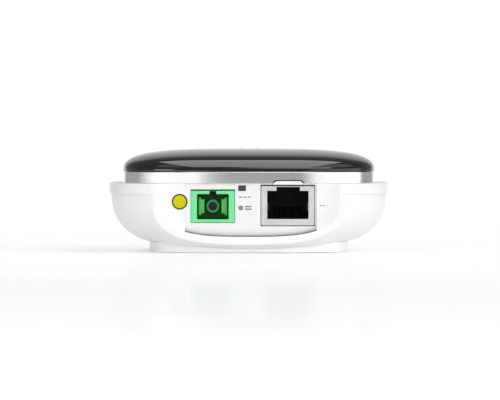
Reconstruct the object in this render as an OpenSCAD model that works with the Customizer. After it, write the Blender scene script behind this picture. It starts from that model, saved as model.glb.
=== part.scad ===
/* [Case] */
// Half-width of the base at its rim
rim_half = 41; // [40.8:0.1:41.4]
// Height of the rim's top edge
rim_top = 20.3; // [20.2:0.1:20.5]
// Height of the straight band under the rim
rim_band = 3.2; // [2.8:0.1:3.6]
// Exponent of the rounded-square plan (2 is a circle)
plan_n = 3.8; // [3.6:0.1:4]
// Distance of the flat port face from the plan's centre
face_c = 38.1; // [38:0.1:38.2]
// Wall thickness of the base
wall = 2; // [1.8:0.1:2.2]

/* [Plinth] */
// Half-width of the plinth
foot_a = 29.2; // [28.8:0.1:29.3]
// Half-depth of the plinth
foot_b = 32.6; // [32.4:0.1:32.8]
// Height where the plinth meets the bowl
foot_top = 3.1; // [3:0.1:3.2]
// Thickness of the rubber feet below the plinth
foot_gap = 0.1; // [0.1:0.05:0.3]
// Spacing of the two wall-mounting keyholes
keyhole_span = 30; // [28:0.5:32]
// Radius of each keyhole's wide end
keyhole_r = 3.4; // [3.2:0.1:3.5]

/* [Trim and cover] */
// Half-width of the trim ring
ring_half = 37.3; // [37.2:0.1:37.5]
// Height of the trim ring's top edge
ring_top = 23.6; // [23.5:0.1:23.7]
// Half-width of the cover
dome_half = 37.1; // [37:0.1:37.2]
// Overall height
dome_top = 30.35; // [30.2:0.05:30.5]

/* [Ports] */
// Centre of the fibre socket
fibre_x = -10.45; // [-10.5:0.05:-10.4]
// Centre of the network jack
jack_x = 11.35; // [11.3:0.05:11.4]
// Centre of the reset hole
reset_x = -1.95; // [-2:0.05:-1.9]
// Travel of the reset plunger
reset_travel = 0.3; // [0.25:0.05:0.3]

/* [Hidden] */

$fn = 48;
slab = 0.02;
eps = 0.05;

// The box of the case is centred on the origin, so the plan's centre sits a little forward.
plan_y = -(rim_half - face_c) / 2;
face_y = plan_y - face_c;
panel_y = face_y + 1.7;
inner_y = panel_y + wall;

// Bowl profile: a superellipse quarter from the plinth to the rim band.
bowl_half = rim_half - 0.5;
bowl_low = 2.6;
bowl_high = rim_top - rim_band;
bowl_core = 24.5;
bowl_p = 2.2;
slices = 8;
chin_in = 5.2;

// Port face outlines, each a superellipse about this height with straight sides above it.
arch_z = 16;
lip_outer = [28.2, 13.5, 2.9];
lip_inner = [26.1, 11.2, 3.1];
panel_flat = [22.4, 9.4, 2.6];
insert_left = -18.45;
insert_right = 19.6;
insert_gap = 0.1;

// Trim ring's thickness, and the cover's skirt inside it
ring_t = 1.4;
skirt_half = ring_half - 1.5;
skirt_inner = ring_half - 3;

// Cover profile
dome_low = 23.85;
dome_base = 23.7;
dome_p = 3.7;
dome_q = 2.7;
cover_t = 1.6;

// Board
board_top = 8.1;
board_t = 1.6;
board_bottom = board_top - board_t;
board_half = 31.5;
floor_z = 4.9;
ledge_z = 18.3;
ledge_half = 34;

// Fasteners
base_boss = [22, 9];
board_boss = [25.5, 0];
foot_pad = [20.5, 18];
pad_r = 3.5;
pad_t = 0.8;

// Fibre socket
fibre_z = 13.65;
fibre_body_z = fibre_z - 0.07;
fibre_outer = [12.7, 9.2];
fibre_gap = [0.25, 0.55];
fibre_key_w = 2;
fibre_hole = [9.22, 7.36];
fibre_deep = 13.5;
tube_front = panel_y + 5;
tube_r = 1.9;
tube_lip = 0.7;
hook_y = panel_y + 3;
sleeve_r = 1.6;
bore_r = 1.25;

// Network jack
jack_z = 13.9;
jack_hole = [15.9, 12.1];
jack_shell = [15.5, 11.47];
jack_open = [12, 8.2];
jack_open_z = 14.05;
jack_latch_w = 6.75;
jack_deep = 17.3;
jack_metal = 0.3;
jack_gap = 0.05;
contact_pitch = 1.02;
contact_count = 8;
contact_w = 0.36;

// Reset
reset_z = 18.93;
reset_hole = [2.24, 1.65];
reset_cap = [1.8, 1.25];
collar_y = panel_y + 5.3;
collar_t = 0.9;

// Tab over the network jack, level with the ring's front
tab_y = plan_y - ring_half + 0.1;
tab_top = rim_top + 0.7;
tab_gap = 0.3;

// Status lights
light_count = 4;
light_pitch = 5;
light_y = -16;
light_chip_y = -3;
light_arm_z = 20.5;
light_arm_t = 1.2;
light_r = 0.9;

// Power inlet on the rear
inlet_y = 36.3;
inlet_pocket_y = 35.9;
inlet_z = board_top + 1.35;
inlet_shell = [7.5, 2.6, 5.4];
inlet_back = inlet_y - inlet_shell[2];

function sgn(v) = v < 0 ? -1 : 1;
function super(a, b, n, cy, pts) = [
  for (i = [0:pts - 1]) let (t = 360 * i / pts)
  [a * sgn(cos(t)) * pow(abs(cos(t)), 2 / n), cy + b * sgn(sin(t)) * pow(abs(sin(t)), 2 / n)]
];
function bowl_r(z) = let (t = (bowl_high - z) / (bowl_high - bowl_low))
  bowl_core + (bowl_half - bowl_core) * pow(1 - pow(t, bowl_p), 1 / bowl_p);
function cavity_r(z) = bowl_r(z - 0.6 * wall) - 0.75 * wall;
function arch_w(arch, z) = z >= arch_z ? arch[0]
  : arch[0] * pow(max(0, 1 - pow((arch_z - z) / arch[1], arch[2])), 1 / arch[2]);
function dome_r(z) = z <= dome_low ? dome_half
  : dome_half * pow(1 - pow((z - dome_low) / (dome_top - dome_low), dome_q), 1 / dome_p);
function dome_z(x, y) = let (s = pow(pow(abs(x), plan_n) + pow(abs(y - plan_y), plan_n), 1 / plan_n))
  dome_low + (dome_top - dome_low) * pow(1 - pow(s / dome_half, dome_p), 1 / dome_q);

module plan(half) {
  polygon(super(half, half, plan_n, plan_y, 48));
}

module clipped_plan(half, front) {
  intersection() {
    plan(half);
    translate([-rim_half, front]) square([2 * rim_half, 2 * rim_half + 5]);
  }
}

// A box from its centre in X and Z, its front and its depth in Y
module block(x, z, w, h, y0, d) {
  translate([x - w / 2, y0, z - h / 2]) cube([w, d, h]);
}

// An arch outline, straight-sided above arch_z, drawn in the X-Z plane
module arch(shape, top) {
  steps = 24;
  polygon(concat(
    [[shape[0], top]],
    [for (i = [0:steps]) let (t = 180 * i / steps, c = cos(t), s = sin(t))
      [shape[0] * sgn(c) * pow(abs(c), 2 / shape[2]), arch_z - shape[1] * pow(s, 2 / shape[2])]],
    [[-shape[0], top]]
  ));
}

// Extrudes an X-Z outline along +Y from y0
module along_y(y0, d) {
  translate([0, y0 + d, 0]) rotate([90, 0, 0]) linear_extrude(d) children();
}

module bowl_outer() {
  hull() {
    for (i = [0:slices]) {
      z = foot_top + (bowl_high - foot_top) * pow(i / slices, 1.5);
      translate([0, 0, z]) linear_extrude(slab) clipped_plan(bowl_r(z), face_y);
    }
    for (i = [0:slices]) {
      z = 2.52 + (arch_z - 2.52) * pow(i / slices, 1.8);
      translate([-arch_w(lip_outer, z), face_y, z]) cube([2 * arch_w(lip_outer, z), 1, slab]);
    }
    // chin under the port face, its half-width against its height
    for (p = [[7, 1.3], [13, 1.72], [20, 2.27]])
      translate([-p[0], face_y + chin_in, p[1]]) cube([2 * p[0], 3, slab]);
  }
}

module cavity() {
  hull() {
    for (i = [0:slices - 2]) {
      z = floor_z + (ledge_z - floor_z) * pow(i / (slices - 2), 1.5);
      half = cavity_r(min(z, bowl_high));
      translate([0, 0, min(z, ledge_z - slab)]) linear_extrude(slab) clipped_plan(half, inner_y);
    }
  }
  translate([0, 0, ledge_z - eps]) linear_extrude(4) clipped_plan(ledge_half, inner_y);
}

module recess() {
  hull() {
    along_y(face_y - 1, slab) arch([for (k = [0:2]) lip_inner[k] + [2.35, 1, 0][k]], rim_top + 1);
    along_y(panel_y - slab, slab) arch(panel_flat, rim_top + 1);
  }
}

module insert_outline(gap) {
  intersection() {
    arch([lip_inner[0], lip_inner[1] - gap, lip_inner[2]], rim_top + 1);
    translate([insert_left - insert_gap + gap, 0])
      square([insert_right - insert_left + 2 * (insert_gap - gap), rim_top - (gap > 0 ? eps : -1)]);
  }
}

module at_four(p) {
  for (sx = [-1, 1], sy = [-1, 1]) translate([sx * p[0], plan_y + sy * p[1], 0]) children();
}

module at_two(p) {
  for (sx = [-1, 1]) translate([sx * p[0], plan_y + p[1], 0]) children();
}

module boss(r) {
  translate([0, 0, floor_z - 1]) cylinder(r = r, h = board_bottom - floor_z + 1, $fn = 24);
}

module base_shell() {
  color("white") difference() {
    union() {
      difference() {
        union() {
          bowl_outer();
          translate([0, 0, bowl_high]) linear_extrude(rim_band) clipped_plan(rim_half, face_y);
        }
        cavity();
      }
      at_four(base_boss) boss(3.2);
      at_two(board_boss) boss(2.8);
    }
    recess();
    // the way in for the sockets, cut past the front wall
    along_y(face_y - 1, inner_y - face_y + 3) insert_outline(0);
    translate([0, 0, -1]) linear_extrude(foot_top + 1) foot_plan(-0.1);
    at_four(base_boss) translate([0, 0, foot_top - 1]) cylinder(r = 1.1, h = 10, $fn = 16);
    at_two(board_boss) translate([0, 0, floor_z]) cylinder(r = 0.95, h = 10, $fn = 16);
    along_y(inlet_y - 6, 12) inlet_outline(inlet_shell[0] / 2 + 0.2, inlet_shell[1] / 2 + 0.2, 0.6);
    along_y(inlet_pocket_y, 12) inlet_outline(5.9, 3.9, 1.5);
  }
}

// Rounded rectangle of the power inlet's wall opening
module inlet_outline(half_w, half_h, r) {
  translate([0, inlet_z]) offset(r = r, $fn = 24)
    square([2 * (half_w - r), 2 * (half_h - r)], center = true);
}

module keyhole() {
  circle(r = keyhole_r);
  translate([-1.9, 0]) square([3.8, 7]);
  translate([0, 7]) circle(r = 1.9);
}

module foot_plan(inset) {
  polygon(super(foot_a - inset, foot_b - inset, plan_n, plan_y, 64));
}

module base_plate() {
  color("white") difference() {
    translate([0, 0, foot_gap]) linear_extrude(foot_top - foot_gap) foot_plan(0);
    // hollow inside, with the screw towers and keyhole surrounds left standing
    translate([0, 0, foot_gap + 1.2]) linear_extrude(foot_top) difference() {
      foot_plan(2);
      at_four(base_boss) circle(r = 4.5);
    }
    for (sx = [-1, 1]) translate([sx * keyhole_span / 2, plan_y, 0]) linear_extrude(foot_top) keyhole();
    at_four(base_boss) translate([0, 0, -1]) cylinder(r = 1.35, h = 6);
    at_four(base_boss) translate([0, 0, -1]) cylinder(r = 2.3, h = 2.6);
    at_four(foot_pad) translate([0, 0, -1]) cylinder(r = pad_r + 0.1, h = pad_t + 1);
    for (i = [-3:3]) translate([2.6 * i - 0.6, plan_y - 20, 0]) cube([1.2, 9, 3]);
  }
}

module rubber_feet() {
  color("#333333") at_four(foot_pad) cylinder(r = pad_r, h = pad_t);
}

module screw(head_r, head_h, shank_r, length) {
  difference() {
    cylinder(r = head_r, h = head_h);
    for (a = [0, 90]) rotate(a) translate([-0.25, -head_r * 0.6, -eps]) cube([0.5, head_r * 1.2, 0.5]);
  }
  translate([0, 0, head_h]) cylinder(r = shank_r, h = length);
}

module base_screws() {
  color("silver") at_four(base_boss) translate([0, 0, 0.5]) screw(2.1, 1.1, 1, 4.6);
}

module board_screws() {
  color("silver") at_two(board_boss) translate([0, 0, board_top + 1.1]) mirror([0, 0, 1])
    screw(2.1, 1.1, 0.88, 2.9);
}

// The insert's front outline stops higher, so its lower edge rolls back behind the lip
module insert_front() {
  intersection() {
    insert_outline(insert_gap);
    arch([lip_inner[0], 9.6, lip_inner[2]], rim_top + 1);
  }
}

// Outline of the tab over the network jack, grown for the gap in the ring around it
module tab_outline(grow) {
  polygon([
    [jack_x - 4.3 - grow, rim_top - 1],
    [jack_x + 4.5 + grow, rim_top - 1],
    [jack_x + 4.5 + grow, rim_top],
    [jack_x + 3.5 + grow, tab_top + grow],
    [jack_x - 3.3 - grow, tab_top + grow],
    [jack_x - 4.3 - grow, rim_top]
  ]);
}

module port_panel() {
  color("white") difference() {
    union() {
      hull() {
        along_y(inner_y - 0.6, 0.6) insert_outline(insert_gap);
        along_y(panel_y, 0.6) insert_front();
      }
      along_y(tab_y, panel_y + 0.55 - tab_y) tab_outline(0);
    }
    block(fibre_x, fibre_z + 0.05, fibre_outer[0] + fibre_gap[0], fibre_outer[1] + fibre_gap[1],
      panel_y - 2, 6);
    block(jack_x, jack_z, jack_hole[0], jack_hole[1], panel_y - 2, 6);
    block(reset_x, reset_z, reset_hole[0], reset_hole[1], panel_y - 2, 6);
  }
}

module trim_ring() {
  color("silver") difference() {
    translate([0, 0, rim_top]) linear_extrude(ring_top - rim_top) difference() {
      polygon(super(ring_half, ring_half, plan_n, plan_y, 96));
      polygon(super(ring_half - ring_t, ring_half - ring_t, plan_n, plan_y, 96));
    }
    along_y(face_y - 1, 6) tab_outline(tab_gap);
  }
}

module dome(inset) {
  hull() for (i = [0:slices + 2]) {
    z = dome_base + (dome_top - dome_base - eps) * (1 - pow(1 - i / (slices + 2), 2));
    translate([0, 0, z - inset]) linear_extrude(slab) plan(dome_r(z) - inset);
  }
}

module top_cover() {
  color("#151515") difference() {
    union() {
      dome(0);
      translate([0, 0, rim_top + 0.2]) linear_extrude(dome_base - rim_top) plan(skirt_half);
    }
    intersection() {
      dome(cover_t);
      translate([0, 0, dome_base - 1]) linear_extrude(20) plan(skirt_inner);
    }
    translate([0, 0, rim_top - 1]) linear_extrude(dome_base - rim_top + 1) plan(skirt_inner);
    at_lights(light_y) translate([0, 0, rim_top]) cylinder(r = light_r + 0.08, h = 12);
  }
  // snap hooks that catch under the base's ledge
  color("#151515") for (a = [0, 90, 180]) translate([0, plan_y, 0]) rotate(a) {
    translate([ledge_half - 1.7, -5, ledge_z - 1.2]) cube([1.4, 10, rim_top + 1 - ledge_z + 1.2]);
    translate([ledge_half - 0.4, -5, ledge_z - 1.2]) cube([0.9, 10, 1]);
    translate([ledge_half - 1.7, -5, rim_top + 0.2]) cube([2.4, 10, 1.2]);
  }
}

module at_lights(y) {
  for (i = [0:light_count - 1]) translate([(i - (light_count - 1) / 2) * light_pitch, y, 0]) children();
}

module light_pipe() {
  top = dome_z(0, light_y) - 0.05;
  color("#e8f0f4") {
    at_lights(light_y) translate([0, 0, light_arm_z]) cylinder(r = light_r, h = top - light_arm_z);
    at_lights(light_y) translate([-light_r, 0, light_arm_z])
      cube([2 * light_r, light_chip_y - light_y, light_arm_t]);
    at_lights(light_chip_y) translate([0, 0, board_top + 1])
      cylinder(r = light_r, h = light_arm_z + light_arm_t - board_top - 1);
    translate([-(light_count - 1) / 2 * light_pitch, (light_y + light_chip_y) / 2, light_arm_z])
      cube([(light_count - 1) * light_pitch, light_arm_t, light_arm_t]);
  }
}

module led_chips() {
  color("#f4f0d8") at_lights(light_chip_y) translate([-0.8, -0.6, board_top]) cube([1.6, 1.2, 0.8]);
}

module circuit_board() {
  color("#1d5a34") difference() {
    translate([0, 0, board_bottom]) linear_extrude(board_t) plan(board_half);
    at_two(board_boss) translate([0, 0, board_bottom - 1]) cylinder(r = 1.3, h = 4);
  }
}

// A flat package standing on the board, placed by its centre
module package(x, y, w, d, h) {
  translate([x - w / 2, y - d / 2, board_top]) cube([w, d, h]);
}

module main_processor() {
  color("#222222") package(-4, 10, 13, 13, 1.3);
}

module thermal_pad() {
  color("#8a9aa8") translate([-10, 4, board_top + 1.3]) cube([12, 12, 0.7]);
}

module heat_spreader() {
  color("#b8bcc0") translate([-13, 1, board_top + 2]) {
    cube([18, 18, 1.2]);
    for (i = [0:6]) translate([0.9 + 2.5 * i, 0, 1.2]) cube([1.2, 18, 5]);
  }
}

module memory_chip() {
  color("#222222") package(12, 9, 8, 12.5, 1.1);
}

module flash_chip() {
  color("#222222") package(12, -5, 7, 5, 1);
}

module power_inductors() {
  color("#3a3a3e") for (x = [-13, 11]) package(x, 26, 6, 6, 3);
}

module capacitors() {
  color("#8d9196") for (x = [-20, 20]) translate([x, 20, board_top]) {
    cylinder(r = 3.15, h = 6.8);
    translate([-3.3, -3.3, 0]) cube([6.6, 6.6, 0.6]);
  }
}

module voltage_regulator() {
  color("#222222") package(-3, 25, 5, 4, 1.5);
}

module ethernet_transformer() {
  color("#26282c") package(23, -12.5, 7, 13, 5.6);
}

module crystal() {
  color("silver") package(-14.5, -1, 2.2, 3, 0.8);
}

module optical_shield() {
  color("#a9aeb2") difference() {
    package(-20, 8, 10, 12, 2.6);
    translate([0, 0, -0.25]) package(-20, 8, 9.5, 11.5, 2.6);
  }
}

module reset_switch() {
  color("#4a4d52") difference() {
    union() {
      translate([reset_x - 1.9, panel_y + 4.6, 16.6]) cube([3.8, 3.6, 3.6]);
      for (sx = [-1, 1]) translate([reset_x + sx * 1.6 - 0.2, panel_y + 5.4, board_top]) cube([0.4, 2, 9]);
    }
    block(reset_x, reset_z, reset_cap[0] + 0.2, reset_cap[1] + 0.2, panel_y + 4, 1.5);
    block(reset_x, reset_z, 2.8, 2.1, collar_y - 0.1, collar_t + reset_travel + 0.2);
  }
}

module reset_button() {
  color("#6d7074") {
    block(reset_x, reset_z, reset_cap[0], reset_cap[1], panel_y + 0.5, 5);
    block(reset_x, reset_z, 2.5, 1.9, collar_y, collar_t);
  }
}

module fibre_adapter_housing() {
  color("#7fef9d") difference() {
    block(fibre_x, fibre_body_z, fibre_outer[0], fibre_outer[1], panel_y - 0.1, 24);
    block(fibre_x, fibre_z - 0.1, fibre_hole[0], fibre_hole[1], panel_y - 1, fibre_deep + 1);
    block(fibre_x, fibre_z + fibre_hole[1] / 2 + 0.15, fibre_key_w, 1.3, panel_y - 1, fibre_deep + 1);
    block(fibre_x, fibre_z - 0.1, 7, 6, panel_y + fibre_deep - 1, 20);
  }
  color("#7fef9d") for (sx = [-1, 1])
    translate([fibre_x + sx * 4.6 - 0.7, panel_y + 6, board_top])
      cube([1.4, 10, fibre_body_z - fibre_outer[1] / 2 - board_top]);
}

// A rod along Y on the fibre's axis
module rod(y0, r, h) {
  translate([fibre_x, y0, fibre_z]) rotate([-90, 0, 0]) cylinder(r = r, h = h);
}

module fibre_latch_insert() {
  color("#9ff5b4") difference() {
    union() {
      block(fibre_x, fibre_z - 0.1, fibre_hole[0] - 0.1, fibre_hole[1] - 0.1, panel_y + fibre_deep - 2, 2);
      rod(tube_front, tube_r, fibre_deep - 6);
      for (sx = [-1, 1]) {
        block(fibre_x + sx * 3.8, fibre_z, 0.7, 5.2, hook_y, panel_y + fibre_deep - 1 - hook_y);
        block(fibre_x + sx * 3.05, fibre_z, 1.1, 4.1, hook_y, 1.2);
      }
    }
    rod(tube_front + tube_lip, sleeve_r + 0.05, 20);
    rod(tube_front - 1, bore_r + 0.05, 3);
  }
}

module alignment_sleeve() {
  color("#f2f2ee") difference() {
    rod(tube_front + tube_lip + 0.1, sleeve_r, 6.3);
    rod(tube_front - 1, bore_r, 20);
    translate([fibre_x - 0.2, tube_front - 1, fibre_z]) cube([0.4, 20, 3]);
  }
}

module ferrule_stub() {
  color("#dfe6f2") rod(tube_front + tube_lip + 6.5, sleeve_r, 8.4);
}

module optical_module() {
  y0 = panel_y + fibre_deep + 1;
  color("#c9a86a") difference() {
    union() {
      block(fibre_x, fibre_z, 6.4, 5.6, y0, 9.4);
      rod(y0 + 9.4, 3.6, 5);
      translate([fibre_x, y0 + 11.9, fibre_z]) rotate([0, 90, 0]) cylinder(r = 2.5, h = 3.8);
    }
    rod(y0 - 1, sleeve_r + 0.05, 7.2);
    rod(y0 + 12.4, 2.3, 9);
  }
}

module laser_can() {
  color("#d0b070") translate([fibre_x, panel_y + fibre_deep + 13.5, fibre_z]) rotate([-90, 0, 0]) {
    cylinder(r = 2.2, h = 2);
    translate([0, 0, 2]) cylinder(r = 2.7, h = 0.9);
    for (a = [0:90:270]) rotate(a) translate([1.1, 0, 2.9]) cylinder(r = 0.2, h = 2.2, $fn = 16);
  }
}

module detector_can() {
  color("#c4c8cc") translate([fibre_x + 3.8, panel_y + fibre_deep + 12.9, fibre_z]) rotate([0, 90, 0]) {
    cylinder(r = 2.1, h = 2.2);
    translate([0, 0, 2.2]) cylinder(r = 2.4, h = 0.8);
    for (a = [0:90:270]) rotate(a) translate([1, 0, 3]) cylinder(r = 0.2, h = 2, $fn = 16);
  }
}

// The opening in the jack's face, with the latch slot above it
module jack_mouth(grow, slot_top) {
  union() {
    block(jack_x, jack_open_z, jack_open[0] + grow, jack_open[1] + grow, panel_y - 1, 30);
    translate([jack_x + 0.1 - jack_latch_w / 2, panel_y - 1, jack_open_z])
      cube([jack_latch_w, 30, slot_top - jack_open_z]);
  }
}

module ethernet_shell() {
  w = jack_shell[0];
  h = jack_shell[1];
  z = board_top + h / 2;
  color("#c8cacc") difference() {
    block(jack_x, z, w, h, panel_y, jack_deep);
    block(jack_x, z - 1, w - 2 * jack_metal, h + 2 - 2 * jack_metal, panel_y + jack_metal, jack_deep);
    intersection() {
      jack_mouth(0, 30);
      block(jack_x, z, w, 2 * h, panel_y - 1, 3);
    }
  }
}

module ethernet_housing() {
  w = jack_shell[0] - 2 * (jack_metal + jack_gap);
  h = jack_shell[1] - jack_metal - jack_gap;
  color("#101010") difference() {
    block(jack_x, board_top + h / 2, w, h, panel_y + jack_metal + jack_gap, jack_deep - 1);
    intersection() {
      jack_mouth(-0.1, 30);
      block(jack_x, jack_open_z, 14, 14, panel_y - 1, 14);
    }
  }
}

module ethernet_contacts() {
  front = panel_y + 4.6;
  low = jack_open_z - jack_open[1] / 2 + 0.2;
  color("gold") for (i = [0:contact_count - 1])
    translate([jack_x + (i - (contact_count - 1) / 2) * contact_pitch + contact_w / 2, 0, 0])
      rotate([0, -90, 0]) linear_extrude(contact_w) polygon([
        [low, front],
        [low + 0.3, front],
        [low + 3.3, front + 7],
        [low + 3.3, front + 8.2],
        [low + 3, front + 8.2],
        [low + 3, front + 7.1]
      ]);
}

module power_inlet_shell() {
  color("#c8cacc") difference() {
    block(0, inlet_z, inlet_shell[0], inlet_shell[1], inlet_back, inlet_shell[2]);
    block(0, inlet_z, inlet_shell[0] - 0.5, inlet_shell[1] - 0.5, inlet_back + 0.4, inlet_shell[2]);
  }
}

module power_inlet_tongue() {
  color("#101010") block(0, inlet_z + 0.35, 4.4, 0.6, inlet_back + 0.4, 4.2);
}

module power_inlet_contacts() {
  color("gold") for (i = [-2:2]) block(0.65 * i, inlet_z - 0.02, 0.3, 0.12, inlet_back + 0.5, 3.8);
}

base_shell();
base_plate();
rubber_feet();
base_screws();
port_panel();
trim_ring();
top_cover();
circuit_board();
board_screws();
main_processor();
thermal_pad();
heat_spreader();
memory_chip();
flash_chip();
power_inductors();
capacitors();
voltage_regulator();
ethernet_transformer();
crystal();
led_chips();
light_pipe();
reset_switch();
reset_button();
fibre_adapter_housing();
fibre_latch_insert();
alignment_sleeve();
ferrule_stub();
optical_module();
laser_can();
detector_can();
optical_shield();
ethernet_shell();
ethernet_housing();
ethernet_contacts();
power_inlet_shell();
power_inlet_tongue();
power_inlet_contacts();
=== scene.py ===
import math

import bmesh
import bpy
from mathutils import Matrix, Vector


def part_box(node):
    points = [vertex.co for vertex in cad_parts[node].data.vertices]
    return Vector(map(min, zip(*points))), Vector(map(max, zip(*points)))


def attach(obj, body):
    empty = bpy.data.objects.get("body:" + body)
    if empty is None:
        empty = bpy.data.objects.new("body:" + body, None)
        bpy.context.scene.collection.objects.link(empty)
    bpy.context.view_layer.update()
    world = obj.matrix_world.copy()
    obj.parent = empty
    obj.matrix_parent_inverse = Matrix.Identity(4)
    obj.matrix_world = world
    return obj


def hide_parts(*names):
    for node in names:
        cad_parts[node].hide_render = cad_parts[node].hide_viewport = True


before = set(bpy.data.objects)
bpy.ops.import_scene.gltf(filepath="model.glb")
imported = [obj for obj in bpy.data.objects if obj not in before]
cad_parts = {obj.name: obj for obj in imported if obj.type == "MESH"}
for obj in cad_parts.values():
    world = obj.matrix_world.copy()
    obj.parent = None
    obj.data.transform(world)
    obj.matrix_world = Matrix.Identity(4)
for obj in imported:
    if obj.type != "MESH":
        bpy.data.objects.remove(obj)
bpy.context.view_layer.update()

# ---------------------------------------------------------------- dimensions, in millimetres
MM = 0.001
PLAN_N = 3.8          # exponent of the rounded-square plan
RIM_HALF = 41.0
RIM_TOP = 20.3
BAND_LOW = 17.1       # lower edge of the rim band
FACE_C = 38.1         # plan centre to port face
PLAN_Y = -(RIM_HALF - FACE_C) / 2
FACE_Y = PLAN_Y - FACE_C
PANEL_Y = FACE_Y + 1.7
INNER_Y = PANEL_Y + 2.0

BOWL_HALF = 40.5
BOWL_CORE = 24.5
BOWL_LOW = 2.6
BOWL_P = 2.2
BOWL_WALL = 1.5
CAVITY_LOW, CAVITY_TOP = 4.9, 18.3
LEDGE_HALF, LEDGE_LOW = 34.0, 18.2
CHIN_EDGE = ((7, 1.3), (10, 1.48), (13, 1.7), (16.5, 1.97), (20, 2.27))   # half-width and height
FOOT_A, FOOT_B = 29.2, 32.6
FOOT_TOP = 3.1
FOOT_GAP = 0.2        # air under the plinth, which reads as a thin dark line
CHIN_IN = 5.2

ARCH_Z = 16.0         # arches are superellipses below this height and straight above it
LIP_OUTER = (28.2, 13.5, 2.9)
LIP_INNER = (26.1, 11.2, 3.1)
PANEL_FLAT = (22.4, 9.4, 2.6)
INSERT_X = (-18.45, 19.6)
INSERT_GAP = 0.1
INSERT_ROLL = 2.3     # radius of the insert's lower edge

RING_HALF = 37.3
RING_WALL = 1.4
RING_TOP = 23.6
SKIRT_HALF = RING_HALF - 1.5
SKIRT_T = 1.5
DOME_HALF = 37.1
DOME_BASE = 23.7
DOME_LOW = 23.85
DOME_TOP = 30.32
DOME_P, DOME_Q = 3.7, 2.7
COVER_T = 1.6

FIBRE_X, FIBRE_Z = -10.45, 13.65
FIBRE_HOLE = (12.95, 9.75)
FIBRE_MOUTH = (9.22, 7.36)
FIBRE_DEEP = 13.5
FIBRE_KEY = (2.0, 1.7)
FIBRE_KEY_Z = FIBRE_Z + 3.63
LATCH_PLATE = (9.1, 7.2)
LATCH_Y = PANEL_Y + 3
TUBE_Y = PANEL_Y + 5
TUBE_R, TUBE_MOUTH_R, TUBE_BORE_R = 1.9, 1.3, 1.65
JACK_X, JACK_Z = 11.35, 13.9
JACK_HOLE = (15.9, 12.1)
JACK_OPEN_Z = 14.05
JACK_OPEN_HALF = (6.0, 4.1)
JACK_SLOT_X, JACK_SLOT_HALF = JACK_X + 0.1, 3.375
SPRING_Z = (12.4, 14.7)
SPRING_LENGTH, SPRING_BOW, SPRING_T = 4.5, 0.42, 0.14
RESET_X, RESET_Z = -1.95, 18.93
RESET_HOLE = (2.24, 1.65)
RESET_CAP = (1.8, 1.25)
INLET_HOLE = (7.9, 3.0)
INLET_POCKET = (11.8, 7.8)
INLET_POCKET_Y = 35.9
TAB_X = (JACK_X - 4.3, JACK_X + 4.5)
TAB_TOP = RIM_TOP + 0.7
TAB_GAP = 0.3

BASE_BOSS = (22.0, 9.0)
BASE_BOSS_R, BASE_HOLE_R = 3.2, 1.1
BOARD_BOSS = (25.5, 0.0)
BOARD_BOSS_R, BOARD_HOLE_R = 2.8, 0.95
BOSS_LOW = 4.2
PILLAR_R, SHANK_R, SCREW_HEAD_R = 4.5, 1.35, 2.3
FOOT_PAD = (20.5, 18.0)
PAD_R, PAD_T = 3.5, 0.8
BOARD_LOW = 6.5       # underside of the circuit board, where the bosses end
KEYHOLE_X = 15.0
VENT = (1.2, 9)
VENT_PITCH, VENT_Y = 2.6, -15.5
LIGHT_PITCH, LIGHT_Y, LIGHT_R = 5.0, -16.0, 0.98
STICKER_X, STICKER_Z = -20.1, 15.0


# ---------------------------------------------------------------- shape formulas
def power(v, e):
    return math.copysign(abs(v) ** e, v)


def superellipse(a, b, n, count, cy=0.0):
    """Closed outline, counter-clockwise, its points bunched where it turns."""
    out = []
    for i in range(count):
        t = 2 * math.pi * i / count
        out.append((a * power(math.cos(t), 2 / n), cy + b * power(math.sin(t), 2 / n)))
    return out


def bowl_half(z):
    t = max(0.0, (BAND_LOW - z) / (BAND_LOW - BOWL_LOW))
    return BOWL_CORE + (BOWL_HALF - BOWL_CORE) * max(0.0, 1 - t ** BOWL_P) ** (1 / BOWL_P)


def arch_outline(arch, top, steps=64):
    """An arch in X and Z, open side up, from its top right corner round to its top left."""
    a, b, p = arch
    out = [(a, top), (a, (top + ARCH_Z) / 2)]
    for i in range(steps + 1):
        t = math.pi * i / steps
        out.append((a * power(math.cos(t), 2 / p), ARCH_Z - b * max(0.0, math.sin(t)) ** (2 / p)))
    return out + [(-a, (top + ARCH_Z) / 2), (-a, top)]


# ---------------------------------------------------------------- mesh helpers
def new_object(name, bm):
    bmesh.ops.recalc_face_normals(bm, faces=bm.faces)
    mesh = bpy.data.meshes.new(name)
    bm.to_mesh(mesh)
    bm.free()
    obj = bpy.data.objects.new(name, mesh)
    bpy.context.scene.collection.objects.link(obj)
    shade(obj, 30.0)
    return obj


def shade(obj, angle):
    mesh = obj.data
    mesh.polygons.foreach_set("use_smooth", [True] * len(mesh.polygons))
    mesh.set_sharp_from_angle(angle=math.radians(angle))


def level_normals(obj):
    """Weights each normal by face area, so flats stay flat beside their rounded edges."""
    mod = obj.modifiers.new("normals", "WEIGHTED_NORMAL")
    mod.keep_sharp = True
    mod.weight = 80
    settle(obj)


def loft(rings):
    """A closed mesh through rings of equal length, each a list of (x, y, z) in millimetres."""
    bm = bmesh.new()
    rows = [[bm.verts.new(Vector(p) * MM) for p in ring] for ring in rings]
    count = len(rows[0])
    for low, high in zip(rows, rows[1:]):
        for i in range(count):
            j = (i + 1) % count
            bm.faces.new((low[i], low[j], high[j], high[i]))
    bm.faces.new(rows[0])
    bm.faces.new(list(reversed(rows[-1])))
    return bm


def plan_solid(profile, count):
    """Sweeps a closed (half-width, height) profile round the rounded-square plan."""
    bm = bmesh.new()
    rows = []
    for half, z in profile:
        ring = superellipse(half, half, PLAN_N, count, PLAN_Y)
        rows.append([bm.verts.new(Vector((x, y, z)) * MM) for x, y in ring])
    for k, low in enumerate(rows):
        high = rows[(k + 1) % len(rows)]
        for i in range(count):
            j = (i + 1) % count
            bm.faces.new((low[i], low[j], high[j], high[i]))
    return bm


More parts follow.
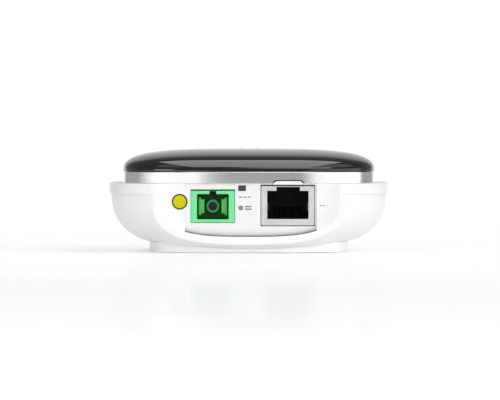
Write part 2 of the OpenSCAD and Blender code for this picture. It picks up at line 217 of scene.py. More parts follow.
def along_y(outline, y0, y1):
    """A prism of an X-Z outline between two depths."""
    return loft([[(x, y0, z) for x, z in outline], [(x, y1, z) for x, z in outline]])


def along_z(outline, z0, z1):
    return loft([[(x, y, z0) for x, y in outline], [(x, y, z1) for x, y in outline]])


def rounded_rect(w, h, r, cx=0.0, cz=0.0, steps=6):
    out = []
    for k, (sx, sz) in enumerate(((1, 1), (-1, 1), (-1, -1), (1, -1))):
        for i in range(steps + 1):
            t = math.pi / 2 * (k + i / steps)
            out.append((cx + sx * (w / 2 - r) + r * math.cos(t), cz + sz * (h / 2 - r) + r * math.sin(t)))
    return out


def circle(r, cx=0.0, cy=0.0, count=40):
    return [(cx + r * math.cos(2 * math.pi * i / count), cy + r * math.sin(2 * math.pi * i / count))
            for i in range(count)]


def boolean(obj, cutter, kind="DIFFERENCE"):
    """Applies one exact boolean and removes the tool."""
    if isinstance(cutter, bmesh.types.BMesh):
        cutter = new_object("tool", cutter)
    mod = obj.modifiers.new("cut", "BOOLEAN")
    mod.operation = kind
    mod.solver = "EXACT"
    mod.object = cutter
    settle(obj)
    bpy.data.objects.remove(cutter)


def settle(obj):
    """Applies every modifier on the object to its mesh."""
    bpy.context.view_layer.update()
    graph = bpy.context.evaluated_depsgraph_get()
    mesh = bpy.data.meshes.new_from_object(obj.evaluated_get(graph))
    obj.modifiers.clear()
    old = obj.data
    obj.data = mesh
    bpy.data.meshes.remove(old)


def finish_piece(obj, body, nodes, material, angle=30.0, level=True):
    shade(obj, angle)
    if level:
        level_normals(obj)
    obj.data.materials.clear()
    obj.data.materials.append(material)
    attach(obj, body)
    if nodes:
        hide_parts(*nodes)


# ---------------------------------------------------------------- materials
def shader(name):
    mat = bpy.data.materials.new(name)
    mat.use_nodes = True
    tree = mat.node_tree
    return mat, tree, tree.nodes["Principled BSDF"]


def noise(tree, scale, detail=3.0, stretch=(1, 1, 1)):
    coords = tree.nodes.new("ShaderNodeTexCoord")
    mapping = tree.nodes.new("ShaderNodeMapping")
    mapping.inputs["Scale"].default_value = stretch
    tex = tree.nodes.new("ShaderNodeTexNoise")
    tex.inputs["Scale"].default_value = scale
    tex.inputs["Detail"].default_value = detail
    tex.inputs["Roughness"].default_value = 0.55
    tree.links.new(coords.outputs["Object"], mapping.inputs["Vector"])
    tree.links.new(mapping.outputs["Vector"], tex.inputs["Vector"])
    return tex


def ramp(tree, source, low, high):
    """Blends two colours over the middle of a noise's range."""
    node = tree.nodes.new("ShaderNodeValToRGB")
    node.color_ramp.elements[0].position = 0.35
    node.color_ramp.elements[1].position = 0.65
    node.color_ramp.elements[0].color = (*low, 1)
    node.color_ramp.elements[1].color = (*high, 1)
    tree.links.new(source, node.inputs["Fac"])
    return node.outputs["Color"]


def spread(tree, source, low, high):
    """Stretches a noise's usual range over two values."""
    node = tree.nodes.new("ShaderNodeMapRange")
    node.inputs["From Min"].default_value = 0.3
    node.inputs["From Max"].default_value = 0.7
    node.inputs["To Min"].default_value = low
    node.inputs["To Max"].default_value = high
    tree.links.new(source, node.inputs["Value"])
    return node.outputs["Result"]


def moulded(name, colour, shift=0.03, rough=(0.3, 0.4), grain=9000, depth=0.00001, strength=0.15,
            metallic=0.0, stretch=(1, 1, 1), specular=0.5):
    """A moulded, plated or painted finish: faint colour drift, uneven gloss and a fine surface grain."""
    mat, tree, bsdf = shader(name)
    drift = noise(tree, 60)
    darker = [c * (1 - shift) for c in colour]
    lighter = [min(1, c * (1 + shift)) for c in colour]
    tree.links.new(ramp(tree, drift.outputs["Fac"], darker, lighter), bsdf.inputs["Base Color"])
    patch = noise(tree, 240, stretch=stretch)
    tree.links.new(spread(tree, patch.outputs["Fac"], *rough), bsdf.inputs["Roughness"])
    fine = noise(tree, grain, detail=2.0, stretch=stretch)
    bump = tree.nodes.new("ShaderNodeBump")
    bump.inputs["Strength"].default_value = strength
    bump.inputs["Distance"].default_value = depth
    tree.links.new(fine.outputs["Fac"], bump.inputs["Height"])
    tree.links.new(bump.outputs["Normal"], bsdf.inputs["Normal"])
    bsdf.inputs["Metallic"].default_value = metallic
    bsdf.inputs["Specular IOR Level"].default_value = specular
    return mat


def paint_depth_shade(mat, shade_colour, start, end):
    """Paints shade into a finish: blends it into a darker colour with depth into the case, between two Y
    positions, standing in for the shade inside the socket.
    """
    tree = mat.node_tree
    base = tree.nodes["Principled BSDF"].inputs["Base Color"]
    coords = tree.nodes.new("ShaderNodeTexCoord")
    axes = tree.nodes.new("ShaderNodeSeparateXYZ")
    tree.links.new(coords.outputs["Object"], axes.inputs["Vector"])
    depth = tree.nodes.new("ShaderNodeMapRange")
    depth.inputs["From Min"].default_value = start * MM
    depth.inputs["From Max"].default_value = end * MM
    tree.links.new(axes.outputs["Y"], depth.inputs["Value"])
    mix = tree.nodes.new("ShaderNodeMixRGB")
    mix.inputs["Color2"].default_value = (*shade_colour, 1)
    tree.links.new(depth.outputs["Result"], mix.inputs["Fac"])
    tree.links.new(base.links[0].from_socket, mix.inputs["Color1"])
    tree.links.new(mix.outputs["Color"], base)
    return mat


# each finish: its name, colour, colour drift, roughness range, grain scale, grain depth and strength
FINISH = {
    "shell": moulded("white_shell", (0.81, 0.81, 0.81), 0.006, (0.3, 0.36), 6000, 0.00002, 0.12),
    # the plinth is a lighter copy of the shell's white, as painted light for its front, shaded under the
    # bowl
    "plinth": moulded("white_plinth", (0.95, 0.95, 0.95), 0.008, (0.34, 0.42), 5000, 0.00003, 0.2),
    # the port panel is a darker copy of the shell's white, as painted shade to tone down its well-lit front
    "panel": moulded("white_panel", (0.76, 0.76, 0.76), 0.006, (0.42, 0.5), 7000, 0.00003, 0.25),
    "trim": moulded("bright_trim", (0.9, 0.9, 0.905), 0.01, (0.05, 0.08), 4000, 0.000004, 0.2, metallic=1.0,
                    stretch=(1, 1, 8)),
    "gloss": moulded("black_gloss", (0.006, 0.006, 0.0065), 0.1, (0.035, 0.06), 900, 0.000002, 0.03,
                     specular=0.78),
    "rubber": moulded("foot_rubber", (0.045, 0.045, 0.045), 0.15, (0.75, 0.9), 5000, 0.00008, 0.5),
    "steel": moulded("screw_steel", (0.62, 0.61, 0.59), 0.06, (0.25, 0.4), 5000, 0.00001, 0.3,
                     metallic=1.0),
    "tin": moulded("jack_steel", (0.76, 0.76, 0.76), 0.03, (0.32, 0.44), 4000, 0.00001, 0.3, metallic=1.0),
    "gold": moulded("contact_gold", (0.86, 0.62, 0.26), 0.05, (0.2, 0.3), 6000, 0.000005, 0.2,
                    metallic=1.0),
    # the jack's contacts are painted nearly black, as painted shade; the real ones are gold-plated
    "contact": moulded("jack_contacts_painted_shade", (0.012, 0.009, 0.005), 0.05, (0.5, 0.6), 6000, 0.000005, 0.2,
                       metallic=1.0),
    "jack": moulded("jack_black", (0.004, 0.004, 0.004), 0.1, (0.45, 0.6), 6000, 0.00002, 0.3,
                    specular=0.15),
    # the adapter and latch greens darken with depth into the socket: painted shade for the shade inside it
    "green": paint_depth_shade(moulded("adapter_green", (0.155, 0.7, 0.285), 0.03, (0.3, 0.4), 5000, 0.00002, 0.2,
                            specular=0.35),
                    (0.006, 0.36, 0.035), PANEL_Y - 0.05, PANEL_Y + 1.4),
    # the latch green is its own green darkened part way, as painted shade for the shaded insert
    "latch": paint_depth_shade(moulded("latch_green_with_painted_shade", (0.095, 0.56, 0.13), 0.05, (0.3, 0.42), 5000, 0.00002, 0.2,
                            specular=0.3),
                    (0.004, 0.19, 0.015), PANEL_Y + 4.2, PANEL_Y + 6),
    # the tube is a darker green than the adapter around it, as painted shade for the shade it sits in
    "tube": moulded("adapter_tube_painted_shade", (0.04, 0.36, 0.09), 0.05, (0.3, 0.42), 5000, 0.00002, 0.2),
    # the ferrule stub and sleeve are painted dark blue-grey, as painted shade; the real ones are white
    # ceramic
    "stub": moulded("ferrule_painted_shade", (0.03, 0.05, 0.065), 0.05, (0.08, 0.14), 5000, 0.000005, 0.1),
    "grey": moulded("switch_grey", (0.05, 0.05, 0.052), 0.08, (0.45, 0.6), 6000, 0.00002, 0.3),
    "chip": moulded("chip_black", (0.02, 0.02, 0.022), 0.15, (0.5, 0.65), 9000, 0.00003, 0.4),
    "board": moulded("board_green", (0.012, 0.13, 0.05), 0.25, (0.3, 0.45), 2500, 0.00003, 0.5),
    "alloy": moulded("spreader_alloy", (0.6, 0.62, 0.64), 0.05, (0.35, 0.5), 5000, 0.00001, 0.3,
                     metallic=1.0),
    "pad": moulded("thermal_pad", (0.28, 0.34, 0.4), 0.08, (0.7, 0.85), 3000, 0.00005, 0.5),
    "ferrite": moulded("ferrite", (0.05, 0.05, 0.055), 0.15, (0.6, 0.75), 4000, 0.00005, 0.5),
    "led": moulded("led_lens", (0.85, 0.82, 0.62), 0.05, (0.2, 0.3), 5000, 0.00001, 0.2),
    "pipe": moulded("light_pipe", (0.55, 0.6, 0.63), 0.03, (0.08, 0.15), 4000, 0.000005, 0.1),
    "ink": moulded("print_ink", (0.2, 0.2, 0.21), 0.1, (0.5, 0.6), 9000, 0.00001, 0.3),
    "yellow": moulded("sticker_yellow", (0.56, 0.5, 0.002), 0.04, (0.35, 0.45), 4000, 0.00001, 0.2,
                      specular=0.1),
    "edge": moulded("sticker_edge", (0.02, 0.02, 0.02), 0.1, (0.4, 0.5), 4000, 0.00001, 0.2),
}


# ---------------------------------------------------------------- base shell
def bowl_points():
    """Points on the bowl's convex outside, its port face and the chin under it."""
    pts = []
    rows = 40
    for i in range(rows + 1):
        z = FOOT_TOP + (BAND_LOW - FOOT_TOP) * (i / rows) ** 1.6
        for x, y in superellipse(bowl_half(z), bowl_half(z), PLAN_N, 160, PLAN_Y):
            if y > FACE_Y + 0.15:
                pts.append((x, y, z))
    inward = 0.25
    for x, z in arch_outline(LIP_OUTER, BAND_LOW, 96):
        lifted = z + inward * max(0.0, (ARCH_Z - z) / LIP_OUTER[1])
        pts.append((x * (1 - inward / LIP_OUTER[0]), FACE_Y, lifted))
        pts.append((x, FACE_Y + 0.15, z))
    for half, z in CHIN_EDGE:
        for sx in (-1, 1):
            pts.append((sx * half, FACE_Y + CHIN_IN, z))
            pts.append((sx * half, FACE_Y + CHIN_IN + 3, z))
    return pts


def hull(points):
    bm = bmesh.new()
    for p in points:
        bm.verts.new(Vector(p) * MM)
    result = bmesh.ops.convex_hull(bm, input=bm.verts)
    loose = [v for v in result["geom_interior"] if isinstance(v, bmesh.types.BMVert)]
    bmesh.ops.delete(bm, geom=loose, context="VERTS")
    bmesh.ops.delete(bm, geom=[v for v in bm.verts if not v.link_faces], context="VERTS")
    return bm


def rim_band():
    """The straight band at the top of the bowl, its top edge rounded."""
    rings = []
    edge = 0.35
    profile = [(RIM_HALF - 0.12, BAND_LOW), (RIM_HALF, BAND_LOW + 0.12)]
    for i in range(6):
        t = math.pi / 2 * i / 5
        profile.append((RIM_HALF - edge + edge * math.cos(t), RIM_TOP - edge + edge * math.sin(t)))
    for half, z in profile:
        ring = superellipse(half, half, PLAN_N, 240, PLAN_Y)
        front = FACE_Y + (RIM_HALF - half) * 0.8
        rings.append([(x, max(y, front), z) for x, y in ring])
    return loft(rings)


def recess_tool():
    """What the port recess takes away: a flared lip, a hollow wall and a flat back."""
    rings = []
    lip = 0.22
    steps = 10
    depth = PANEL_Y - FACE_Y
    profile = [(-1.0, -0.5), (-lip, -0.06), (-lip * 0.4, 0.04), (0.0, lip * 0.8)]
    for i in range(1, steps + 1):
        t = i / steps
        profile.append((t, lip * 0.8 + (depth - lip * 0.8) * (1 - (1 - t) ** 1.5)))
    for t, d in profile:
        arch = [LIP_INNER[k] + (PANEL_FLAT[k] - LIP_INNER[k]) * t for k in range(3)]
        rings.append([(x, FACE_Y + d, z) for x, z in arch_outline(arch, RIM_TOP + 2)])
    return loft(rings)


def insert_outline(left, right, lift, top):
    """The insert's outline: straight sides and top, and a bottom that follows the lip."""
    a, b, p = LIP_INNER
    out = [(right, top)]
    steps = 48
    for i in range(steps + 1):
        x = right + (left - right) * i / steps
        out.append((x, ARCH_Z - (b - lift) * (1 - (abs(x) / a) ** p) ** (1 / p)))
    return out + [(left, top)]


def build_bowl():
    obj = new_object("bowl", hull(bowl_points()))
    boolean(obj, rim_band(), "UNION")
    rings = []
    for i in range(13):
        z = CAVITY_LOW + (CAVITY_TOP - CAVITY_LOW) * (i / 12) ** 1.4
        half = bowl_half(min(z, BAND_LOW) - 1.2) - BOWL_WALL
        ring = superellipse(half, half, PLAN_N, 120, PLAN_Y)
        rings.append([(x, max(y, INNER_Y), z) for x, y in ring])
    boolean(obj, loft(rings))
    ledge = superellipse(LEDGE_HALF, LEDGE_HALF, PLAN_N, 160, PLAN_Y)
    boolean(obj, along_z([(x, max(y, INNER_Y)) for x, y in ledge], LEDGE_LOW, RIM_TOP + 1))
    boolean(obj, recess_tool())
    notch = insert_outline(INSERT_X[0] - INSERT_GAP, INSERT_X[1] + INSERT_GAP, 0, RIM_TOP + 1)
    boolean(obj, along_y(notch, FACE_Y - 1, INNER_Y + 2))
    boolean(obj, along_z(superellipse(FOOT_A + 0.1, FOOT_B + 0.1, PLAN_N, 160, PLAN_Y), -1, FOOT_TOP))
    # each boss: its place, its outer and hole radii and the height where its hole starts
    bosses = [(sx * BASE_BOSS[0], sy * BASE_BOSS[1], BASE_BOSS_R, BASE_HOLE_R, FOOT_TOP)
              for sx in (-1, 1) for sy in (-1, 1)]
    bosses += [(sx * BOARD_BOSS[0], BOARD_BOSS[1], BOARD_BOSS_R, BOARD_HOLE_R, CAVITY_LOW) for sx in (-1, 1)]
    for x, y, outer, inner, low in bosses:
        boolean(obj, along_z(circle(outer, x, PLAN_Y + y, 32), BOSS_LOW, BOARD_LOW), "UNION")
        boolean(obj, along_z(circle(inner, x, PLAN_Y + y, 24), low - 1, BOARD_LOW + 1))
    low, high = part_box("power_inlet_shell")
    cz = (low.z + high.z) / 2 / MM
    back = high.y / MM
    boolean(obj, along_y(rounded_rect(*INLET_HOLE, 0.6, 0, cz), back - 6, back + 6))
    boolean(obj, along_y(rounded_rect(*INLET_POCKET, 1.5, 0, cz), INLET_POCKET_Y, back + 6))
    finish_piece(obj, "case", ["base_shell"], FINISH["shell"], 17)


# ---------------------------------------------------------------- port panel
def build_panel():
    rings = []
    steps = 12
    for i in range(steps + 1):
        t = math.pi / 2 * i / steps
        y = PANEL_Y + INSERT_ROLL * (1 - math.cos(t))
        gap = INSERT_GAP + INSERT_ROLL * (1 - math.sin(t))
        outline = insert_outline(INSERT_X[0] - 0.07, INSERT_X[1], gap, RIM_TOP - 0.05)
        rings.append([(x, min(y, INNER_Y), z) for x, z in outline])
        if y >= INNER_Y:
            break
    obj = new_object("port_insert", loft(rings))
    boolean(obj, along_y(tab_outline(0), PLAN_Y - RING_HALF + 0.1, PANEL_Y + 0.55), "UNION")
    for hole in (rounded_rect(*FIBRE_HOLE, 0.25, FIBRE_X, FIBRE_Z + 0.05),
                 rounded_rect(*JACK_HOLE, 0.3, JACK_X, JACK_Z),
                 rounded_rect(*RESET_HOLE, 0.2, RESET_X, RESET_Z)):
        boolean(obj, along_y(hole, PANEL_Y - 2, PANEL_Y + 4))
    finish_piece(obj, "case", ["port_panel"], FINISH["panel"], 25)


def tab_outline(grow):
    """The tab over the jack, or the wider notch for it in the ring."""
    left, right = TAB_X[0] - grow, TAB_X[1] + grow
    top = TAB_TOP + grow
    return [(left, RIM_TOP - 1), (right, RIM_TOP - 1), (right, RIM_TOP), (right - 0.45, top - 0.3),
            (right - 0.8, top - 0.08), (right - 1.1, top), (left + 1.3, top), (left + 0.95, top - 0.08),
            (left + 0.6, top - 0.3), (left, RIM_TOP)]


# ---------------------------------------------------------------- trim ring and cover
def build_ring():
    edge = 0.08
    outer, inner = RING_HALF, RING_HALF - RING_WALL
    profile = [(inner, RIM_TOP), (outer - edge, RIM_TOP), (outer - 0.3 * edge, RIM_TOP + 0.3 * edge),
               (outer, RIM_TOP + edge), (outer, RIM_TOP + 1.5 * edge), (outer, RING_TOP - 1.5 * edge),
               (outer, RING_TOP - edge), (outer - 0.3 * edge, RING_TOP - 0.3 * edge),
               (outer - edge, RING_TOP), (inner, RING_TOP)]
    obj = new_object("ring", plan_solid(profile, 288))
    boolean(obj, along_y(tab_outline(TAB_GAP), FACE_Y - 1, FACE_Y + 5))
    finish_piece(obj, "case", ["trim_ring"], FINISH["trim"], 35)


def dome_profile(inset, steps):
    """The cover's outline from its centre down to its edge."""
    out = []
    for i in range(steps + 1):
        t = math.pi / 2 * i / steps
        half = DOME_HALF * math.sin(t) ** (2 / DOME_P)
        z = DOME_LOW + (DOME_TOP - DOME_LOW) * max(0.0, math.cos(t)) ** (2 / DOME_Q)
        out.append((half - inset * half / DOME_HALF, z - inset))
    return out


def dome_normal(p):
    """The normal of the cover's outer surface at a point on it, or zero for a point elsewhere."""
    x, y = abs(p.x), abs(p.y - PLAN_Y)
    height = (p.z - DOME_LOW) / (DOME_TOP - DOME_LOW)
    span = (x ** PLAN_N + y ** PLAN_N) ** (1 / PLAN_N)
    t = span / DOME_HALF
    if height < 0.0 or span < 0.01 or abs(t ** DOME_P + height ** DOME_Q - 1) > 0.004:
        return (0.0, 0.0, 0.0)
    out = DOME_P * t ** (DOME_P - 1) / DOME_HALF * span ** (1 - PLAN_N)
    up = DOME_Q * height ** (DOME_Q - 1) / (DOME_TOP - DOME_LOW)
    right = math.copysign(out * x ** (PLAN_N - 1), p.x)
    back = math.copysign(out * y ** (PLAN_N - 1), p.y - PLAN_Y)
    return Vector((right, back, up)).normalized()


def build_cover():
    bm = bmesh.new()
    count = 240
    outer = dome_profile(0.0, 64)[1:]
    edge = 0.1
    inside = SKIRT_HALF - SKIRT_T
    profile = outer + [(DOME_HALF, DOME_BASE + edge), (DOME_HALF - 0.3 * edge, DOME_BASE + 0.3 * edge),
                       (DOME_HALF - edge, DOME_BASE), (SKIRT_HALF, DOME_BASE), (SKIRT_HALF, RIM_TOP + 0.2),
                       (inside, RIM_TOP + 0.2), (inside, DOME_LOW - 0.5)]
    profile += list(reversed([p for p in dome_profile(COVER_T, 24)[1:] if p[0] < inside - 0.2]))
    rows = []
    for half, z in profile:
        ring = superellipse(half, half, PLAN_N, count, PLAN_Y)
        rows.append([bm.verts.new(Vector((x, y, z)) * MM) for x, y in ring])
    for low, high in zip(rows, rows[1:]):
        for i in range(count):
            j = (i + 1) % count
            bm.faces.new((low[i], low[j], high[j], high[i]))
    for row, z in ((rows[0], DOME_TOP), (rows[-1], DOME_TOP - COVER_T)):
        top = bm.verts.new(Vector((0, PLAN_Y, z)) * MM)
        for i in range(count):
            bm.faces.new((row[i], row[(i + 1) % count], top))
    obj = new_object("cover", bm)
    for i in range(4):
        window = circle(LIGHT_R, LIGHT_PITCH * (i - 1.5), LIGHT_Y, 24)
        boolean(obj, along_z(window, RIM_TOP, DOME_TOP + 1))
    finish_piece(obj, "case", ["top_cover"], FINISH["gloss"], 40, False)
    obj.data.normals_split_custom_set_from_vertices([dome_normal(v.co / MM) for v in obj.data.vertices])


def build_cover_hooks():
    """The cover's three snap hooks, on its sides and back."""
    inner, outer, nose = LEDGE_HALF - 1.7, LEDGE_HALF - 0.3, LEDGE_HALF + 0.5
    low, root = LEDGE_LOW - 1.1, RIM_TOP + 0.2
    outline = [(inner, low), (nose - 0.3, low), (nose, low + 0.3), (nose, LEDGE_LOW - 0.2),
               (outer, LEDGE_LOW), (outer, root), (outer + 1, root), (outer + 1, root + 1.2),
               (inner, root + 1.2)]
    for name, turn in (("right", 0), ("back", 90), ("left", 180)):
        bm = along_y(outline, -5, 5)
        bmesh.ops.rotate(bm, verts=bm.verts, matrix=Matrix.Rotation(math.radians(turn), 3, "Z"))
        bmesh.ops.translate(bm, verts=bm.verts, vec=Vector((0, PLAN_Y, 0)) * MM)
        obj = new_object(f"cover_hook_{name}", bm)
        soften(obj, 0.12)
        finish_piece(obj, "case", [], FINISH["jack"])


# the CAD nodes that keep their own meshes, and their finishes
NODE_FINISH = {
    "base_screws": "steel", "circuit_board": "board", "board_screws": "steel", "main_processor": "chip",
    "thermal_pad": "pad", "heat_spreader": "alloy", "memory_chip": "chip", "flash_chip": "chip",
    "power_inductors": "ferrite", "capacitors": "alloy", "voltage_regulator": "chip",
    "ethernet_transformer": "chip", "crystal": "tin", "led_chips": "led", "light_pipe": "pipe",
    "reset_switch": "grey", "ferrule_stub": "stub", "optical_module": "gold", "laser_can": "gold",
    "detector_can": "tin", "optical_shield": "tin", "alignment_sleeve": "stub",
    "ethernet_contacts": "contact", "power_inlet_tongue": "jack", "power_inlet_contacts": "gold",
}


# ---------------------------------------------------------------- sockets, jack and inlet
def mm_box(node):
    low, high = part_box(node)
    return low / MM, high / MM


def soften(obj, width, segments=2, angle=30.0):
    """Breaks the sharp edges of a piece."""
    mod = obj.modifiers.new("edges", "BEVEL")
    mod.width = width * MM
    mod.segments = segments
    mod.limit_method = "ANGLE"
    mod.angle_limit = math.radians(angle)
    mod.use_clamp_overlap = True
    settle(obj)


def rect(x, z, w, h):
    return [(x + w / 2, z + h / 2), (x - w / 2, z + h / 2), (x - w / 2, z - h / 2), (x + w / 2, z - h / 2)]


def rod(y0, y1, r, count=48):
    return along_y(circle(r, FIBRE_X, FIBRE_Z, count), y0, y1)


def build_fibre_socket():
    low, high = mm_box("fibre_adapter_housing")
    body_z = FIBRE_Z - 0.07
    body_h = 2 * (high.z - body_z)
    obj = new_object("fibre_socket", along_y(rect(FIBRE_X, body_z, high.x - low.x, body_h), low.y, high.y))
    back = low.y + FIBRE_DEEP + 0.1
    boolean(obj, along_y(rounded_rect(*FIBRE_MOUTH, 0.3, FIBRE_X, FIBRE_Z - 0.1), low.y - 1, back))
    boolean(obj, along_y(rounded_rect(*FIBRE_KEY, 0.2, FIBRE_X, FIBRE_KEY_Z), low.y - 1, back))
    boolean(obj, along_y(rect(FIBRE_X, FIBRE_Z - 0.1, 7, 6), low.y + 12, high.y + 1))
    for sx in (-1, 1):
        leg_z = (low.z + body_z - body_h / 2) / 2 + 0.1
        leg = rect(FIBRE_X + sx * 4.6, leg_z, 1.4, body_z - body_h / 2 - low.z + 0.2)
        boolean(obj, along_y(leg, PANEL_Y + 6, PANEL_Y + 16), "UNION")
    soften(obj, 0.12)
    finish_piece(obj, "case", ["fibre_adapter_housing"], FINISH["green"])


def build_fibre_latches():
    """The socket's back plate with a hook on each side, and the tube between them."""
    back = PANEL_Y + FIBRE_DEEP
    obj = new_object("fibre_latches", along_y(rect(FIBRE_X, FIBRE_Z - 0.1, *LATCH_PLATE), back - 2, back))
    for sx in (-1, 1):
        boolean(obj, along_y(rect(FIBRE_X + sx * 3.8, FIBRE_Z, 0.7, 5.2), LATCH_Y, back - 1), "UNION")
        boolean(obj, along_y(rect(FIBRE_X + sx * 3.05, FIBRE_Z, 1.1, 4.1), LATCH_Y, LATCH_Y + 1.2), "UNION")
    boolean(obj, rod(back - 3, back + 1, TUBE_BORE_R))
    soften(obj, 0.09)
    finish_piece(obj, "case", ["fibre_latch_insert"], FINISH["latch"])
    tube = new_object("fibre_tube", rod(TUBE_Y, back - 2, TUBE_R))
    boolean(tube, rod(TUBE_Y - 1, back + 1, TUBE_MOUTH_R))
    boolean(tube, rod(TUBE_Y + 0.7, back + 1, TUBE_BORE_R))
    soften(tube, 0.12, 3)
    finish_piece(tube, "case", [], FINISH["tube"])


def jack_mouth(grow, top):
    """The jack's opening with the latch slot above it."""
    x, z = JACK_X, JACK_OPEN_Z
    half, low, high = JACK_OPEN_HALF[0] + grow, z - JACK_OPEN_HALF[1] - grow, z + JACK_OPEN_HALF[1] + grow
    left, right = JACK_SLOT_X - JACK_SLOT_HALF, JACK_SLOT_X + JACK_SLOT_HALF
    return [(x + half, low), (x + half, high), (right, high), (right, top),
            (left, top), (left, high), (x - half, high), (x - half, low)]


def build_jack_shell():
    low, high = mm_box("ethernet_shell")
    w, h, cz = high.x - low.x, high.z - low.z, (high.z + low.z) / 2
    obj = new_object("jack_shell", along_y(rounded_rect(w, h, 0.45, JACK_X, cz), low.y, high.y))
    boolean(obj, along_y(rect(JACK_X, cz - 1, w - 0.6, h + 1.4), low.y + 0.3, high.y + 1))
    boolean(obj, along_y(jack_mouth(0, high.z + 1), low.y - 1, low.y + 1))
    soften(obj, 0.07)
    finish_piece(obj, "case", ["ethernet_shell"], FINISH["tin"])


def build_jack_housing():
    low, high = mm_box("ethernet_housing")
    w, h, cz = high.x - low.x, high.z - low.z, (high.z + low.z) / 2
    obj = new_object("jack_housing", along_y(rect(JACK_X, cz, w, h), low.y, high.y))
    boolean(obj, along_y(jack_mouth(-0.05, high.z + 1), low.y - 1, PANEL_Y + 13))
    soften(obj, 0.1)
    finish_piece(obj, "case", ["ethernet_housing"], FINISH["jack"])


def build_jack_springs():
    """The two bowed fingers in the jack's mouth that earth a shielded plug."""
    low, high = SPRING_Z
    steps = 12
    for name, sx in (("left", -1), ("right", 1)):
        wall = JACK_X + sx * JACK_OPEN_HALF[0]
        rings = []
        for i in range(steps + 1):
            t = i / steps
            bow = SPRING_BOW * math.sin(math.pi * t) ** 0.8
            y = PANEL_Y + 0.2 + SPRING_LENGTH * t
            inner, outer = wall - sx * bow, wall - sx * (bow - SPRING_T)
            rings.append([(inner, y, low), (inner, y, high), (outer, y, high), (outer, y, low)])
        obj = new_object(f"jack_spring_{name}", loft(rings))
        finish_piece(obj, "case", [], FINISH["tin"])


def build_inlet():
    low, high = mm_box("power_inlet_shell")
    w, h, cz = high.x - low.x, high.z - low.z, (high.z + low.z) / 2
    obj = new_object("inlet_shell", along_y(rounded_rect(w, h, 0.5, 0, cz), low.y, high.y))
    boolean(obj, along_y(rounded_rect(w - 0.5, h - 0.5, 0.3, 0, cz), low.y + 0.4, high.y + 1))
    soften(obj, 0.05)
    finish_piece(obj, "case", ["power_inlet_shell"], FINISH["tin"])


def build_reset_button():
    low, high = mm_box("reset_button")
    cap = rounded_rect(*RESET_CAP, 0.15, RESET_X, RESET_Z)
    collar = rect(RESET_X, RESET_Z, high.x - low.x, high.z - low.z)
    obj = new_object("reset_cap", along_y(cap, low.y, high.y - 0.5))
    boolean(obj, along_y(collar, high.y - 0.9, high.y), "UNION")
    soften(obj, 0.08)
    finish_piece(obj, "reset", ["reset_button"], FINISH["grey"])


def foot_ring(inset, z):
    return [(x, y, z) for x, y in superellipse(FOOT_A - inset, FOOT_B - inset, PLAN_N, 192, PLAN_Y)]


def build_plinth():
    rings = [foot_ring(0.12, FOOT_GAP), foot_ring(0.03, FOOT_GAP + 0.03), foot_ring(0, FOOT_GAP + 0.12),
             foot_ring(0, FOOT_GAP + 0.3), foot_ring(0, FOOT_TOP)]
    obj = new_object("plinth", loft(rings))
    hollow = [foot_ring(2, FOOT_GAP + 1.2), foot_ring(2, FOOT_TOP + 1)]
    boolean(obj, loft(hollow))
    bx, by = BASE_BOSS
    px, py = FOOT_PAD
    for sx in (-1, 1):
        for sy in (-1, 1):
            cx, cy = sx * bx, PLAN_Y + sy * by
            boolean(obj, along_z(circle(PILLAR_R, cx, cy), FOOT_GAP + 0.6, FOOT_TOP), "UNION")
            boolean(obj, along_z(circle(SHANK_R, cx, cy), -1, FOOT_TOP + 1))
            boolean(obj, along_z(circle(SCREW_HEAD_R, cx, cy), -1, 1.6))
            boolean(obj, along_z(circle(PAD_R + 0.1, sx * px, PLAN_Y + sy * py), -1, PAD_T))
        keyhole = [(sx * KEYHOLE_X + x, PLAN_Y + y) for x, y in keyhole_outline()]
        boolean(obj, along_z(keyhole, -1, FOOT_TOP + 1))
    for i in range(-3, 4):
        boolean(obj, along_z(rounded_rect(*VENT, 0.5, VENT_PITCH * i, PLAN_Y + VENT_Y), -1, FOOT_TOP + 1))
    soften(obj, 0.1, 1, 40)
    finish_piece(obj, "case", ["base_plate"], FINISH["plinth"], 25)


def keyhole_outline():
    """A round entry with a narrower slot running towards +Y."""
    wide, slot, reach = 3.4, 1.9, 7.0
    turn = math.asin(slot / wide)
    out = []
    for i in range(33):
        t = math.pi / 2 + turn + (2 * math.pi - 2 * turn) * i / 32
        out.append((wide * math.cos(t), wide * math.sin(t)))
    for i in range(13):
        t = math.pi * i / 12
        out.append((slot * math.cos(t), reach + slot * math.sin(t)))
    return out


def build_feet():
    bm = bmesh.new()
    px, py = FOOT_PAD
    profile = [(3.1, 0.0), (3.35, 0.06), (PAD_R, 0.25), (PAD_R, PAD_T)]
    count = 48
    for sx in (-1, 1):
        for sy in (-1, 1):
            rows = []
            for r, z in profile:
                ring = circle(r, sx * px, PLAN_Y + sy * py, count)
                rows.append([bm.verts.new(Vector((x, y, z)) * MM) for x, y in ring])
            for low, high in zip(rows, rows[1:]):
                for i in range(count):
                    j = (i + 1) % count
                    bm.faces.new((low[i], low[j], high[j], high[i]))
            bm.faces.new(rows[0])
            bm.faces.new(rows[-1])
    finish_piece(new_object("feet", bm), "case", ["rubber_feet"], FINISH["rubber"])


# ---------------------------------------------------------------- printed marks, all generic
def mark(name, outline, material, depth=0.04):
    """A printed mark that stands a little proud of the panel."""
    obj = new_object(name, along_y(outline, PANEL_Y - depth, PANEL_Y + 0.05))
    obj.data.materials.append(material)
    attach(obj, "case")


